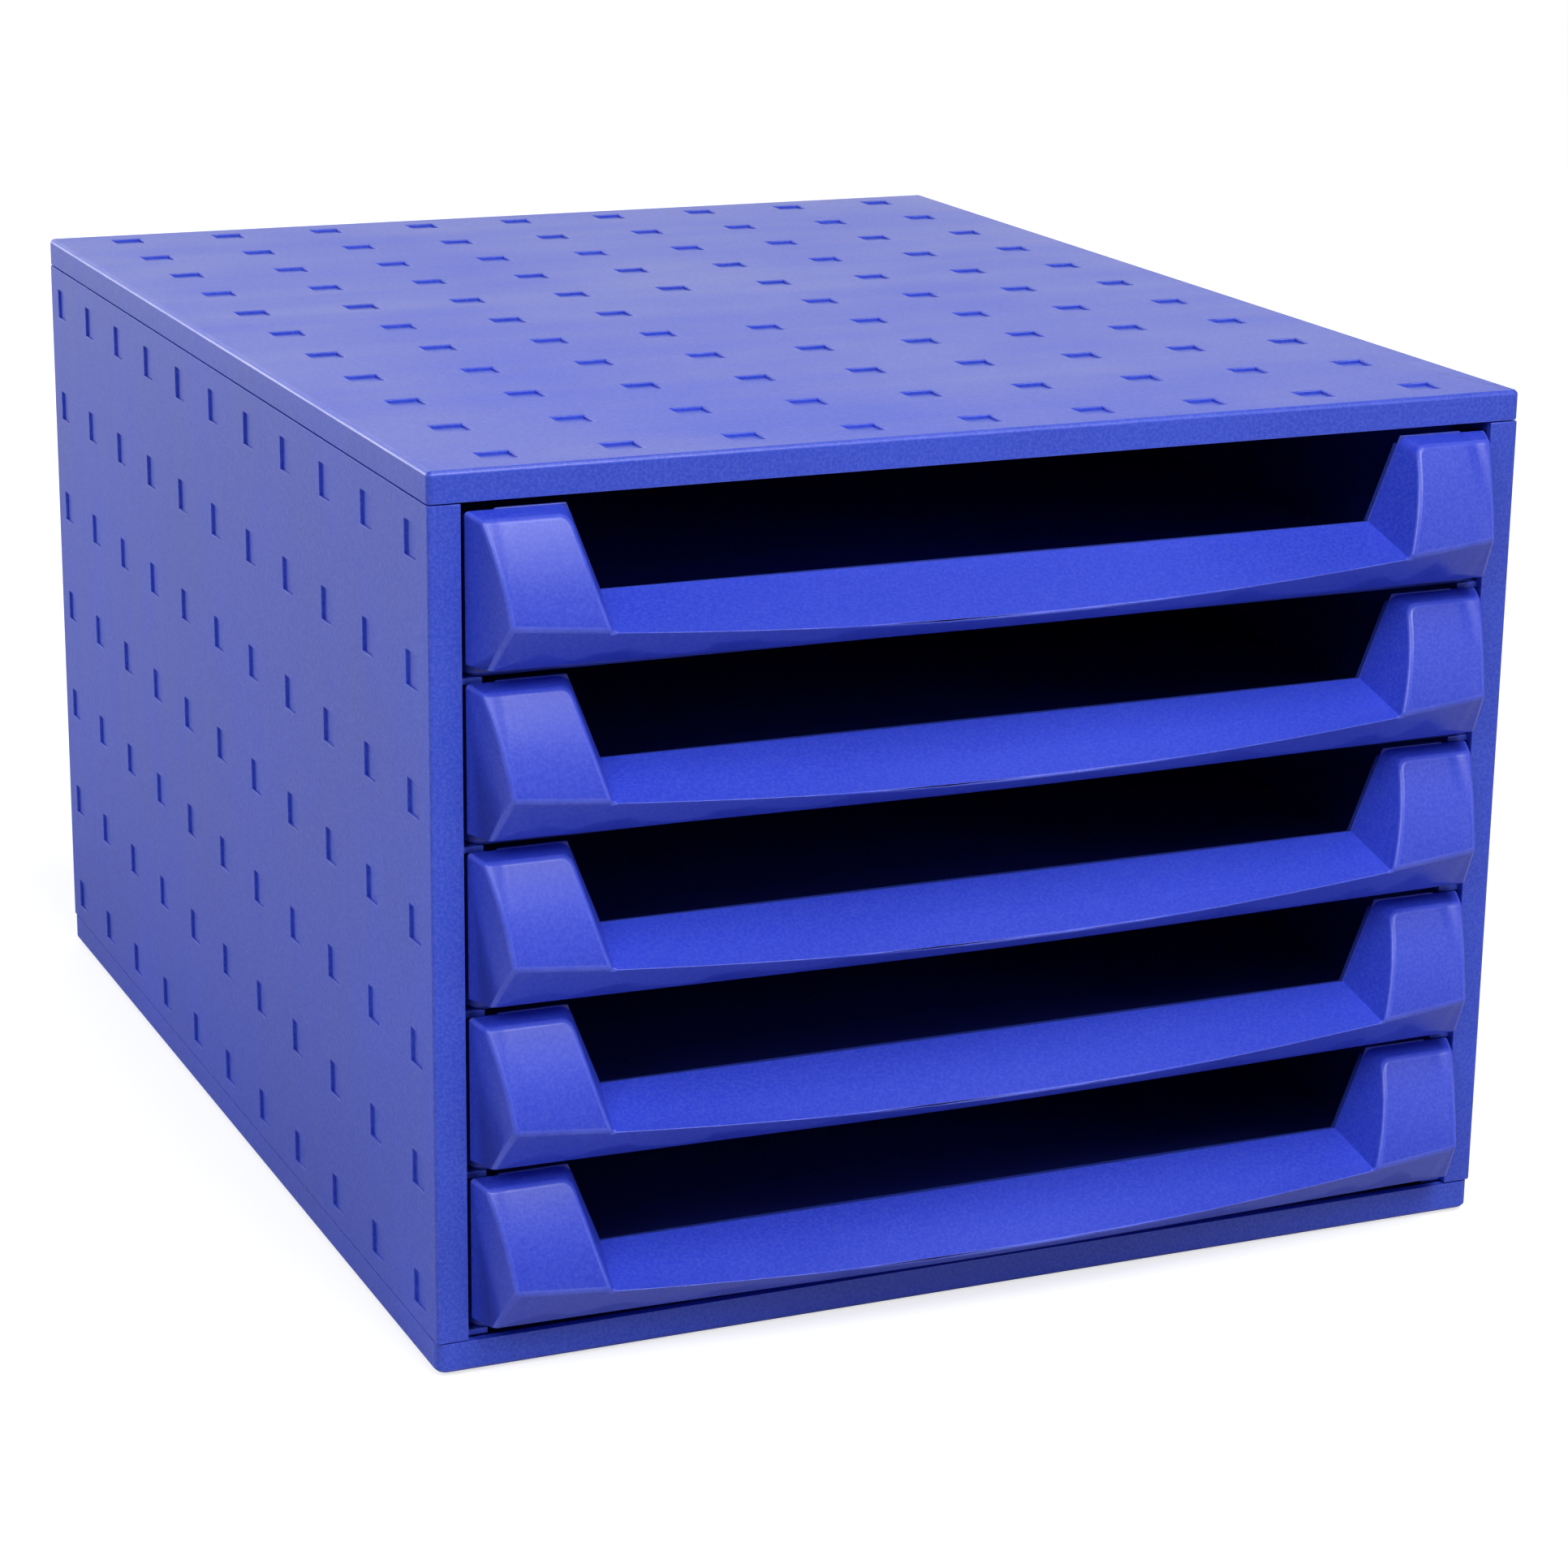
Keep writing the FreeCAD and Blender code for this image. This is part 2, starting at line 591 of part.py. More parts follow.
def make_tray(label):
    """A tray with a mouth in its front wall, windows for the clips and two stop lugs."""
    body = new_body(label)
    pad(body, "tray_block", tray_plan(body, "tray_plan", 0, 0), tray_height)
    hollow = tray_plan(body, "tray_inner_plan", tray_wall, tray_floor)
    pocket(body, "tray_hollow", hollow, tray_height - tray_floor, reverse=True)

    def along_foot(edge):
        return near(edge.BoundBox.ZMax, 0)
    bevel_edges(body, "tray_foot_edge", tray_foot_bevel, along_foot)

    brow_side = tray_half_width - tray_brow_end
    plan = rectangle(body, "tray_brow_plan", "XY_Plane", -brow_side, brow_side,
                     front_setback, front_setback + tray_brow_wall, tray_height - tray_wall)
    pad(body, "tray_brow", plan, tray_brow + tray_wall)

    mouth_top = tray_height + tray_brow * 2
    top_half_width = mouth_half_width + splay * (mouth_top - lip_height)
    corners = [
        (-mouth_half_width, lip_height), (mouth_half_width, lip_height),
        (top_half_width, mouth_top), (-top_half_width, mouth_top),
    ]
    plan = outline(body, "tray_gap_plan", "XZ_Plane", corners, -tray_inner_front)
    pocket(body, "tray_gap", plan, tray_cut, both_ways=True)

    for name, centre, foot in clip_places():
        half = clip_width / 2 + fit_gap
        plan = rectangle(body, f"{name}_window_plan", "XZ_Plane",
                         centre - half, centre + half, foot - clip_hook - fit_gap,
                         foot + clip_wall + fit_gap, -tray_inner_front)
        window = pocket(body, f"{name}_window", plan, tray_cut, both_ways=True)
        mirror(body, f"{name}_windows", [window], "YZ_Plane")

    lug_rear = tray_rear - stop_setback
    plan = rectangle(body, "stop_plan", "XY_Plane",
                     tray_half_width - tray_wall / 2, tray_half_width + stop_reach,
                     lug_rear - stop_length, lug_rear, tray_height - stop_rise)
    stop = pad(body, "stop", plan, stop_rise)
    mirror(body, "stops", [stop], "YZ_Plane")
    return body


def clip_places():
    """The clips on the right half: name, centre from the middle, underside."""
    return (
        ("cheek_clip", cheek_clip_place, cheek_clip_height),
        ("lip_clip", lip_clip_place, lip_clip_height),
    )


def front_block(body, name, inset):
    """The moulding without its mouth, seen from the side, or its core at an inset."""
    slope = inset * FACE_SLANT
    back = front_setback + inset
    corners = [
        (back, cheek_height - inset), (-(brow_reach - inset / 2), brow_height - slope),
        (slope - nose_reach, nose_height), (slope - nose_reach, front_foot + inset),
        (back, front_foot + inset),
    ]
    bulges = {1: (slope - belly_reach, belly_height)}
    profile = outline(body, f"{name}_profile", "YZ_Plane", corners, 0, bulges)
    pad(body, f"{name}_block", profile, (front_half_width - inset) * 2, both_ways=True)


def cut_mouth(body, name, inset):
    """Opens the mouth between the cheeks, down to the lip's slope."""
    slope = inset * LIP_SLANT
    top = cheek_height + overrun
    fall = (lip_height - nose_height - crest_land / 2) / front_depth
    flare = mouth_flare / front_depth
    sections = []
    for end, run, sag in (("back", -overrun, 0), ("nose", front_depth + overrun, crest_sag)):
        middle = lip_height - fall * run - slope
        corner = middle + sag
        foot_side = mouth_half_width + flare * run + inset + splay * (corner - lip_height)
        top_side = foot_side + splay * (top - corner)
        corners = [(-foot_side, corner), (foot_side, corner), (top_side, top), (-top_side, top)]
        bulges = {0: (0, middle)} if sag else {}
        sections.append(outline(body, f"{name}_mouth_{end}", "XZ_Plane",
                                corners, run - front_setback, bulges))
    loft("PartDesign::SubtractiveLoft", body, f"{name}_mouth", *sections)


def cut_keel(body, name, inset):
    """Takes the lower slope off, from the crest to the moulding's foot."""
    slope = inset * KEEL_SLANT
    crest = nose_height - crest_land / 2
    rise = (crest - front_foot) / (nose_reach - keel_reach)
    end_rise = (crest + crest_end_sag - front_foot) / (nose_reach - keel_end_reach)
    sections = []
    for end, reach in (("nose", nose_reach + overrun), ("foot", keel_end_reach - overrun)):
        middle = front_foot + rise * (reach - keel_reach) + slope
        corner = front_foot + end_rise * (reach - keel_end_reach) + slope
        low = -front_depth
        corners = [
            (-front_half_width, low), (front_half_width, low),
            (front_half_width, corner), (-front_half_width, corner),
        ]
        sections.append(outline(body, f"{name}_keel_{end}", "XZ_Plane",
                                corners, reach, {2: (0, middle)}))
    loft("PartDesign::SubtractiveLoft", body, f"{name}_keel", *sections)


def cut_facets(body, name, inset):
    """Cuts both ends back, so that the moulding narrows towards its nose."""
    lean = facet_cut / front_depth
    rear = front_setback + overrun
    front = -nose_reach - overrun
    side = front_half_width - inset * FACET_SLANT
    corners = [
        (side + lean * overrun, rear), (side - lean * (front_depth + overrun), front),
        (side + facet_cut, front), (side + facet_cut, rear),
    ]
    plan = outline(body, f"{name}_facet_plan", "XY_Plane", corners)
    facet = pocket(body, f"{name}_facet", plan, facet_length, both_ways=True)
    mirror(body, f"{name}_facets", [facet], "YZ_Plane")


def front_form(body, name, inset):
    """The outer form of a drawer front, or its hollow core at an inset."""
    front_block(body, name, inset)
    cut_mouth(body, name, inset)
    cut_keel(body, name, inset)
    cut_facets(body, name, inset)


def make_front(label):
    """A drawer front: outer form less its core, with the clips that hold it on the tray."""
    body = new_body(label)
    front_form(body, "front", 0)

    core = new_body(f"{label}_core")
    front_form(core, "core", front_wall)
    for name, centre, foot in clip_places():
        plan = rectangle(core, f"{name}_arm_plan", "XY_Plane",
                         centre - clip_width / 2, centre + clip_width / 2,
                         -nose_reach, front_setback + front_wall * 2, foot)
        arm = pocket(core, f"{name}_arm", plan, clip_wall, reverse=True)
        mirror(core, f"{name}_arms", [arm], "YZ_Plane")
    hollow = body.newObject("PartDesign::Boolean", "front_hollow")
    hollow.Type = "Cut"
    hollow.setObjects([core])

    for name, centre, foot in clip_places():
        behind = tray_inner_front + fit_gap
        top = foot + clip_wall
        corners = [
            (front_setback - clip_wall, foot), (behind + clip_hook_length, foot),
            (behind + clip_hook_length, top), (behind + clip_hook_length / 2, top + clip_hook),
            (behind, top + clip_hook), (behind, top), (front_setback - clip_wall, top),
        ]
        profile = outline(body, f"{name}_profile", "YZ_Plane", corners, centre)
        clip = pad(body, name, profile, clip_width, both_ways=True)
        mirror(body, f"{name}s", [clip], "YZ_Plane")
    return body


def clone(original, label):
    """Another piece from the same mould."""
    body = document.addObject("PartDesign::Body", label)
    body.Label = label
    feature = document.addObject("PartDesign::FeatureBase", f"{label}_form")
    feature.BaseFeature = original
    body.Group = [feature]
    body.Tip = feature
    return body


def make_drawers():
    """Five trays and five fronts, the top one first."""
    first_tray = make_tray("drawer_tray_1")
    first_front = make_front("drawer_front_1")
    pieces = [first_tray, first_front]
    for count in range(1, DRAWERS):
        pieces.append(clone(first_tray, f"drawer_tray_{count + 1}"))
        pieces.append(clone(first_front, f"drawer_front_{count + 1}"))
    for index, piece in enumerate(pieces):
        level = DRAWERS - 1 - index // 2
        place(piece, 0, casing_front, pad_proud + drawer_base + drawer_pitch * level)
    return pieces


def report_faults(pieces):
    """Stops when anything failed to build."""
    for item in document.Objects:
        if "Invalid" in item.State or "Error" in item.State:
            raise RuntimeError(f"{item.Label}: {item.State}")
    for piece in pieces:
        if piece.Shape.isNull() or not piece.Shape.isValid():
            raise RuntimeError(f"{piece.Label} has no sound shape")
        if len(piece.Shape.Solids) != 1:
            raise RuntimeError(f"{piece.Label} is {len(piece.Shape.Solids)} solids")


pieces = [
    make_top_panel(),
    make_bottom_panel(),
    make_side_panel("left_side_panel", -1),
    make_side_panel("right_side_panel", 1),
    make_back_panel(),
    make_pad("foot_front_left", -1, -1),
    make_pad("foot_front_right", 1, -1),
    make_pad("foot_rear_left", -1, 1),
    make_pad("foot_rear_right", 1, 1),
]
pieces += make_drawers()
document.recompute()
report_faults(pieces)

os.makedirs("parts", exist_ok=True)
for piece in pieces:
    box = piece.Shape.BoundBox
    print(f"{piece.Label}: {piece.Shape.Volume:.0f} mm3, X {box.XMin:.2f} to {box.XMax:.2f},"
          f" Y {box.YMin:.2f} to {box.YMax:.2f}, Z {box.ZMin:.2f} to {box.ZMax:.2f}")
    piece.Shape.exportStep(f"parts/{piece.Label}.step")
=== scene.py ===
# %% [markdown]
# # A desktop drawer unit
#
# The unit is a casing of five moulded panels with five open-fronted drawers in it, all of one blue
# polystyrene with a satin finish. The shapes come from the CAD frame. This lesson gives them the
# soft edges, the grain and the light that make them look moulded.

import json
from math import degrees, radians

import bmesh
import bpy
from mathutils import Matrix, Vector

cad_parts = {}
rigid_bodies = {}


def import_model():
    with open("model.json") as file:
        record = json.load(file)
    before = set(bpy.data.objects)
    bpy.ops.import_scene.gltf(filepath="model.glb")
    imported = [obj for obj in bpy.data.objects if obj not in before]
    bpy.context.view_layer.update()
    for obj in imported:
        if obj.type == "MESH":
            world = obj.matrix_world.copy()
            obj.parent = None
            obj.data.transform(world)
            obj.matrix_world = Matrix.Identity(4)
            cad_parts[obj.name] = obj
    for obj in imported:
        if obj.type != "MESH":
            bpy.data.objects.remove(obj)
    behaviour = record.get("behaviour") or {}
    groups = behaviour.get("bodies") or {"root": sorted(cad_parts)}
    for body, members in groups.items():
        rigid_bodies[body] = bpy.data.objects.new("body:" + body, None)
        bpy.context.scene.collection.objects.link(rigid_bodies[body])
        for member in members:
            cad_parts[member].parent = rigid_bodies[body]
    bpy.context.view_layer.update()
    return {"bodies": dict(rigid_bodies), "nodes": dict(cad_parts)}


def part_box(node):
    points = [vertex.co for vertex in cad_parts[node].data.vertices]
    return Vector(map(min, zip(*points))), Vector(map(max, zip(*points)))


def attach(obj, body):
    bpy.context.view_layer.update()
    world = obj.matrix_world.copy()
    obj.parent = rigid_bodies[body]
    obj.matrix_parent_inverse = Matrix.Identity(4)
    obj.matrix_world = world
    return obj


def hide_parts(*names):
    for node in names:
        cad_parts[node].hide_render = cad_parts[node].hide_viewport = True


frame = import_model()
nodes = frame["nodes"]
low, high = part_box("top_panel")
casing_middle = Vector(((low.x + high.x) / 2, (low.y + high.y) / 2, high.z / 2))
print(f"{len(nodes)} nodes, casing {high.x - low.x:.3f} by {high.y - low.y:.3f} by {high.z:.3f} m")

# %% [markdown]
# ## The camera
#
# The photograph was taken from a little over a metre away with a rather long lens, so upright
# edges lean inwards only a little. A camera can be moved by hand until the outlines meet. Here its
# place and its turns were solved from the corners of the casing in the picture, together with the
# casing's proportions, which is closer. A camera looks along its own minus Z, so three turns are
# enough to aim it.
#
# Small sizes and places are written in millimetres, and MM turns them into Blender's metres.

# %% Camera at the photograph's viewpoint
MM = 0.001
SENSOR_WIDTH = 36
LENS = 94.36
CAMERA_PLACE = Vector((-423.99, -1012.98, 409.59)) * MM
CAMERA_TURNS = (radians(73.5655), radians(-0.7302), radians(-23.3302))

camera_data = bpy.data.cameras.new("camera")
camera_data.sensor_width = SENSOR_WIDTH
camera_data.lens = LENS
camera = bpy.data.objects.new("camera", camera_data)
bpy.context.scene.collection.objects.link(camera)
camera.location = CAMERA_PLACE
camera.rotation_euler = CAMERA_TURNS
bpy.context.scene.camera = camera
print(f"camera at {camera.location.length:.2f} m, lens {LENS} mm")

# %% [markdown]
# ## Helpers for the modelling
#
# The CAD meshes have the right shapes but knife-sharp edges, and they are loose triangles with one
# flat normal each. The pieces could be modelled anew, but a copy keeps every size as it is. So a
# copy is merged and its level triangles dissolved, and then its sharp edges can be found and
# rounded. An operator works on whatever is selected, so each step starts by selecting nothing.


# %% Selecting
def select_only(piece):
    """Leaves one object selected and active."""
    bpy.ops.object.select_all(action="DESELECT")
    piece.select_set(True)
    bpy.context.view_layer.objects.active = piece


# %% A merged copy of a CAD node
SAME_CORNER = 0.003 * MM
FLAT = radians(0.4)
PLAIN, ROUNDED, RUBBED_AND_HIGHLIT = 0, 1, 2


def merged_copy(node, name):
    """A copy of a CAD node, with shared corners and without the lines across its flat faces."""
    piece = bpy.data.objects.new(name, nodes[node].data.copy())
    piece.data.name = name
    piece.data.materials.clear()
    bpy.context.scene.collection.objects.link(piece)
    for _ in (PLAIN, ROUNDED, RUBBED_AND_HIGHLIT):
        piece.data.materials.append(None)
    select_only(piece)
    bpy.ops.object.mode_set(mode="EDIT")
    bpy.ops.mesh.select_all(action="SELECT")
    bpy.ops.mesh.remove_doubles(threshold=SAME_CORNER)
    bpy.ops.mesh.dissolve_limited(angle_limit=FLAT)
    bpy.ops.object.mode_set(mode="OBJECT")
    return piece


# %% [markdown]
# ## The plastic
#
# Polystyrene from a fine-grained mould is satin: it spreads a reflection wide, and its colour is
# never quite even, because the melt left faint clouds and streaks where it flowed. A painted image
# could show that. Noise that reads the place on the piece is chosen instead, because it has no
# seams, stays sharp close up and travels with a drawer. Clouds, streaks, speckle and grain are
# node groups, so each material can take its own share of them.
#
# A node tree is wired by the same few moves again and again, so each move is a small helper first.

# %% Small helpers for node trees
def new_group(name, inputs, outputs):
    """An empty shader group with its sockets, its input node and its output node."""
    group = bpy.data.node_groups.new(name, "ShaderNodeTree")
    for title, kind, value in inputs:
        socket = group.interface.new_socket(title, in_out="INPUT", socket_type=kind)
        socket.default_value = value
    for title, kind in outputs:
        group.interface.new_socket(title, in_out="OUTPUT", socket_type=kind)
    return group, group.nodes.new("NodeGroupInput"), group.nodes.new("NodeGroupOutput")


def set_or_link(tree, socket, source):
    """Fills a socket with a plain value, or links another socket to it."""
    if isinstance(source, bpy.types.NodeSocket):
        tree.links.new(source, socket)
    else:
        socket.default_value = source


def noise(tree, vector, scale, detail, roughness=0.5):
    """A noise texture over the piece, with its scale in features per metre."""
    texture = tree.nodes.new("ShaderNodeTexNoise")
    texture.inputs["Scale"].default_value = scale
    texture.inputs["Detail"].default_value = detail
    texture.inputs["Roughness"].default_value = roughness
    tree.links.new(vector, texture.inputs["Vector"])
    return texture.outputs["Fac"]


def stretched(tree, vector, scale):
    """The place on the piece, stretched or squeezed along its axes."""
    node = tree.nodes.new("ShaderNodeMapping")
    node.inputs["Scale"].default_value = scale
    tree.links.new(vector, node.inputs["Vector"])
    return node.outputs["Vector"]


def calculate(tree, operation, first, second=0.0):
    """One sum on two values or sockets."""
    node = tree.nodes.new("ShaderNodeMath")
    node.operation = operation
    set_or_link(tree, node.inputs[0], first)
    set_or_link(tree, node.inputs[1], second)
    return node.outputs[0]


def remap(tree, value, from_low, from_high, to_low, to_high):
    """A value stretched from one range to another."""
    node = tree.nodes.new("ShaderNodeMapRange")
    node.inputs["From Min"].default_value = from_low
    node.inputs["From Max"].default_value = from_high
    set_or_link(tree, node.inputs["To Min"], to_low)
    set_or_link(tree, node.inputs["To Max"], to_high)
    tree.links.new(value, node.inputs["Value"])
    return node.outputs["Result"]


def mix_colour(tree, factor, first, second):
    """Two colours mixed by a factor."""
    node = tree.nodes.new("ShaderNodeMix")
    node.data_type = "RGBA"
    for index, source in ((0, factor), (6, first), (7, second)):
        set_or_link(tree, node.inputs[index], source)
    return node.outputs[2]


# %% [markdown]
# The melt flowed into the mould in broad clouds and in streaks drawn out from side to side. The
# two are added in fixed shares and choose between a deep and a pale blue. A far finer noise
# strews light specks over them.

# %% Node group: clouds, streaks and speckle in the colour
CLOUDS_PER_METRE = 9
STREAKS_PER_METRE = (6, 70, 22)
SPECKS_PER_METRE = 1250
CLOUD_SHARE = 0.7
STREAK_SHARE = 0.3
FLOW_RANGE = (0.34, 0.66)
SPECK_RANGE = (0.38, 0.66)
SPECK_BLUE = (0.20, 0.26, 0.92, 1)

melt, melt_in, melt_out = new_group(
    "melt_colour",
    [
        ("Vector", "NodeSocketVector", (0, 0, 0)),
        ("Deep", "NodeSocketColor", (0.02, 0.05, 0.6, 1)),
        ("Pale", "NodeSocketColor", (0.04, 0.09, 0.8, 1)),
        ("Speck", "NodeSocketFloat", 0.1),
    ],
    [("Color", "NodeSocketColor"), ("Cloud", "NodeSocketFloat")],
)
place = melt_in.outputs["Vector"]
cloud = noise(melt, place, CLOUDS_PER_METRE, detail=3, roughness=0.55)
streak = noise(melt, stretched(melt, place, STREAKS_PER_METRE), 1, detail=3, roughness=0.6)
flow = calculate(melt, "MULTIPLY", cloud, CLOUD_SHARE)
flow = calculate(melt, "ADD", flow, calculate(melt, "MULTIPLY", streak, STREAK_SHARE))
flow = remap(melt, flow, *FLOW_RANGE, 0, 1)
flow_colour = mix_colour(melt, flow, melt_in.outputs["Deep"], melt_in.outputs["Pale"])
speck = noise(melt, place, SPECKS_PER_METRE, detail=2, roughness=0.6)
speck = remap(melt, speck, *SPECK_RANGE, 0, melt_in.outputs["Speck"])
melt.links.new(mix_colour(melt, speck, flow_colour, SPECK_BLUE), melt_out.inputs["Color"])
melt.links.new(flow, melt_out.inputs["Cloud"])
print(f"group {melt.name}: {len(melt.nodes)} nodes")

# %% [markdown]
# The mould leaves a fine grain on the plastic, and a broad wall is never quite level. Both are too
# slight to model, so they are added up as one height, and a bump in each material makes the
# surface catch the light as if it were that uneven.

# %% Node group: grain of the mould
GRAINS_PER_METRE = 1700
WAVES_PER_METRE = 60
WAVE_HEIGHT = 3

grain, grain_in, grain_out = new_group(
    "mould_grain",
    [("Vector", "NodeSocketVector", (0, 0, 0))],
    [("Height", "NodeSocketFloat")],
)
place = grain_in.outputs["Vector"]
fine = noise(grain, place, GRAINS_PER_METRE, detail=2, roughness=0.6)
wavy = remap(grain, noise(grain, place, WAVES_PER_METRE, detail=2), 0, 1, 0, WAVE_HEIGHT)
grain.links.new(calculate(grain, "ADD", fine, wavy), grain_out.inputs["Height"])
print(f"group {grain.name}: {len(grain.nodes)} nodes")

# %% [markdown]
# Where a thick part joins the back of a moulded wall, the wall shrinks inwards as it cools. Each
# cheek of a drawer front has such a sink mark, a soft upright hollow just inside its outer edge.
# It could be pressed into the mesh, but it is so shallow that only its shading shows, and a height
# does that too. The distance from an upright line makes the hollow, and noise makes it uneven.

# %% Node group: sink marks
SINK_PLACE = 126.5 * MM
SINK_WIDTH = 3 * MM
SINK_PATCHES_PER_METRE = 45
SHALLOWEST = 0.6
USUAL_NOISE = (0.35, 0.65)

sink, sink_in, sink_out = new_group(
    "sink_marks",
    [("Vector", "NodeSocketVector", (0, 0, 0)), ("Deep", "NodeSocketFloat", 25)],
    [("Height", "NodeSocketFloat")],
)
place = sink_in.outputs["Vector"]
parts = sink.nodes.new("ShaderNodeSeparateXYZ")
sink.links.new(place, parts.inputs["Vector"])
across = calculate(sink, "ABSOLUTE", parts.outputs["X"])
away = calculate(sink, "ABSOLUTE", calculate(sink, "SUBTRACT", across, SINK_PLACE))
hollow = remap(sink, away, 0, SINK_WIDTH, 1, 0)
hollow.node.interpolation_type = "SMOOTHSTEP"
patchy = noise(sink, place, SINK_PATCHES_PER_METRE, detail=1)
hollow = calculate(sink, "MULTIPLY", hollow, remap(sink, patchy, *USUAL_NOISE, SHALLOWEST, 1))
hollow = calculate(sink, "MULTIPLY", hollow, sink_in.outputs["Deep"])
sink.links.new(calculate(sink, "MULTIPLY", hollow, -1), sink_out.inputs["Height"])
print(f"group {sink.name}: {len(sink.nodes)} nodes")


# %% [markdown]
# Hands and sheets of paper polish the rounded edges first, so there the plastic is smoother. The
# rounded edges are also a little paler: a painted highlight for the fine line of light that each
# edge catches, together with their wear. A shader can guess where edges are while it renders, but
# when the edges are made they are known exactly, and so each of their faces is marked with an
# attribute named "edge". The group breaks that mark up, so that the paler colour and the polish
# aren't even.

# %% Node group: edge wear and painted edge highlight
EDGE_PATCHES_PER_METRE = 90
LEAST_PALE_EDGE = 0.4

wear, wear_and_highlight_in, wear_and_highlight_out = new_group(
    "edge_wear_and_highlight",
    [
        ("Vector", "NodeSocketVector", (0, 0, 0)),
        ("Edge", "NodeSocketFloat", 0),
        ("Amount", "NodeSocketFloat", 0.2),
    ],
    [("Mask", "NodeSocketFloat")],
)
patchy = noise(wear, wear_and_highlight_in.outputs["Vector"], EDGE_PATCHES_PER_METRE, detail=3)
patchy = remap(wear, patchy, *USUAL_NOISE, LEAST_PALE_EDGE, 1)
mask = calculate(wear, "MULTIPLY", wear_and_highlight_in.outputs["Edge"], patchy)
mask = calculate(wear, "MULTIPLY", mask, wear_and_highlight_in.outputs["Amount"])
wear.links.new(mask, wear_and_highlight_out.inputs["Mask"])
print(f"group {wear.name}: {len(wear.nodes)} nodes")


# %% [markdown]
# Each material sets its own blue, its own gloss and how deep the grain is. The panels come out of
# a coarser, duller mould than the drawer fronts, which shine a little more. The trays are a deeper
# blue than the rest: painted shade for the dark inside of the drawers, where little light reaches.
# Only the fronts have the sink marks.

# %% Helpers for materials
def new_material(name):
    """An empty material, with its node tree and its Principled shader."""
    material = bpy.data.materials.new(name)
    material.use_nodes = True
    return material, material.node_tree, material.node_tree.nodes["Principled BSDF"]


def place_group(tree, group, vector):
    """Puts a shared group in a material and hands it the place on the piece."""
    node = tree.nodes.new("ShaderNodeGroup")
    node.node_tree = group
    tree.links.new(vector, node.inputs["Vector"])
    return node


def bump_by(tree, height, strength, depth, shader):
    """Tilts a shader's normal by a height, as if the surface were that uneven."""
    bump = tree.nodes.new("ShaderNodeBump")
    bump.inputs["Strength"].default_value = strength
    bump.inputs["Distance"].default_value = depth
    tree.links.new(height, bump.inputs["Height"])
    tree.links.new(bump.outputs["Normal"], shader.inputs["Normal"])


# %% Satin plastic
POLYSTYRENE_IOR = 1.58
EDGE_MARK = "edge"
# Pale blue on the marked edges: a painted highlight along the rounded edges, together with their
# wear.
WORN_AND_HIGHLIGHT_BLUE = (0.16, 0.21, 0.92, 1)
WORN_POLISH = 0.3
GRAIN_STRENGTH = 0.35


def satin_plastic(name, deep, pale, speck, dull, shine, depth, rubbed_and_highlit, sunk=False):
    """Moulded polystyrene: clouded blue, satin gloss, grain, edges paler as painted highlight and
    wear.
    """
    material, tree, plastic = new_material(name)
    plastic.inputs["IOR"].default_value = POLYSTYRENE_IOR
    place = tree.nodes.new("ShaderNodeTexCoord").outputs["Object"]
    colour = place_group(tree, melt, place)
    colour.inputs["Deep"].default_value = deep
    colour.inputs["Pale"].default_value = pale
    colour.inputs["Speck"].default_value = speck
    edge = tree.nodes.new("ShaderNodeAttribute")
    edge.attribute_name = EDGE_MARK
    worn_and_highlit = place_group(tree, wear, place)
    worn_and_highlit.inputs["Amount"].default_value = rubbed_and_highlit
    tree.links.new(edge.outputs["Fac"], worn_and_highlit.inputs["Edge"])
    # Marked edges are mixed towards the pale blue as a painted highlight and wear; the polish only
    # lowers roughness.
    worn_and_highlit_colour = mix_colour(tree, worn_and_highlit.outputs["Mask"], colour.outputs["Color"], WORN_AND_HIGHLIGHT_BLUE)
    tree.links.new(worn_and_highlit_colour, plastic.inputs["Base Color"])
    gloss = remap(tree, colour.outputs["Cloud"], 0, 1, shine, dull)
    polish = calculate(tree, "MULTIPLY", worn_and_highlit.outputs["Mask"], WORN_POLISH)
    tree.links.new(calculate(tree, "SUBTRACT", gloss, polish), plastic.inputs["Roughness"])
    height = place_group(tree, grain, place).outputs["Height"]
    if sunk:
        height = calculate(tree, "ADD", height, place_group(tree, sink, place).outputs["Height"])
    bump_by(tree, height, GRAIN_STRENGTH, depth, plastic)
    print(f"material {name}: {len(tree.nodes)} nodes")
    return material


casing_plastic = satin_plastic(
    "casing_plastic",
    deep=(0.018, 0.054, 0.55, 1),
    pale=(0.024, 0.070, 0.67, 1),
    speck=0.20,
    dull=0.48,
    shine=0.36,
    depth=0.05 * MM,
    rubbed_and_highlit=0.3,
)
front_plastic = satin_plastic(
    "front_plastic",
    deep=(0.022, 0.050, 0.60, 1),
    pale=(0.026, 0.059, 0.67, 1),
    speck=0.14,
    dull=0.44,
    shine=0.36,
    depth=0.03 * MM,
    rubbed_and_highlit=0.35,
    sunk=True,
)
# The trays' deeper blue is painted shade that darkens the inside of the drawers.
tray_plastic = satin_plastic(
    "tray_plastic",
    deep=(0.016, 0.036, 0.32, 1),
    pale=(0.020, 0.042, 0.37, 1),
    speck=0.08,
    dull=0.48,
    shine=0.40,
    depth=0.03 * MM,
    rubbed_and_highlit=0.2,
)


# %% [markdown]
# ## The pads' rubber
#
# Under the casing are four pads of dark rubber, which keep it from sliding on a desk. Rubber has
# almost no gloss and holds dust. One fine noise makes the dust, and where it lies the rubber is
# greyer, rougher and a little higher.

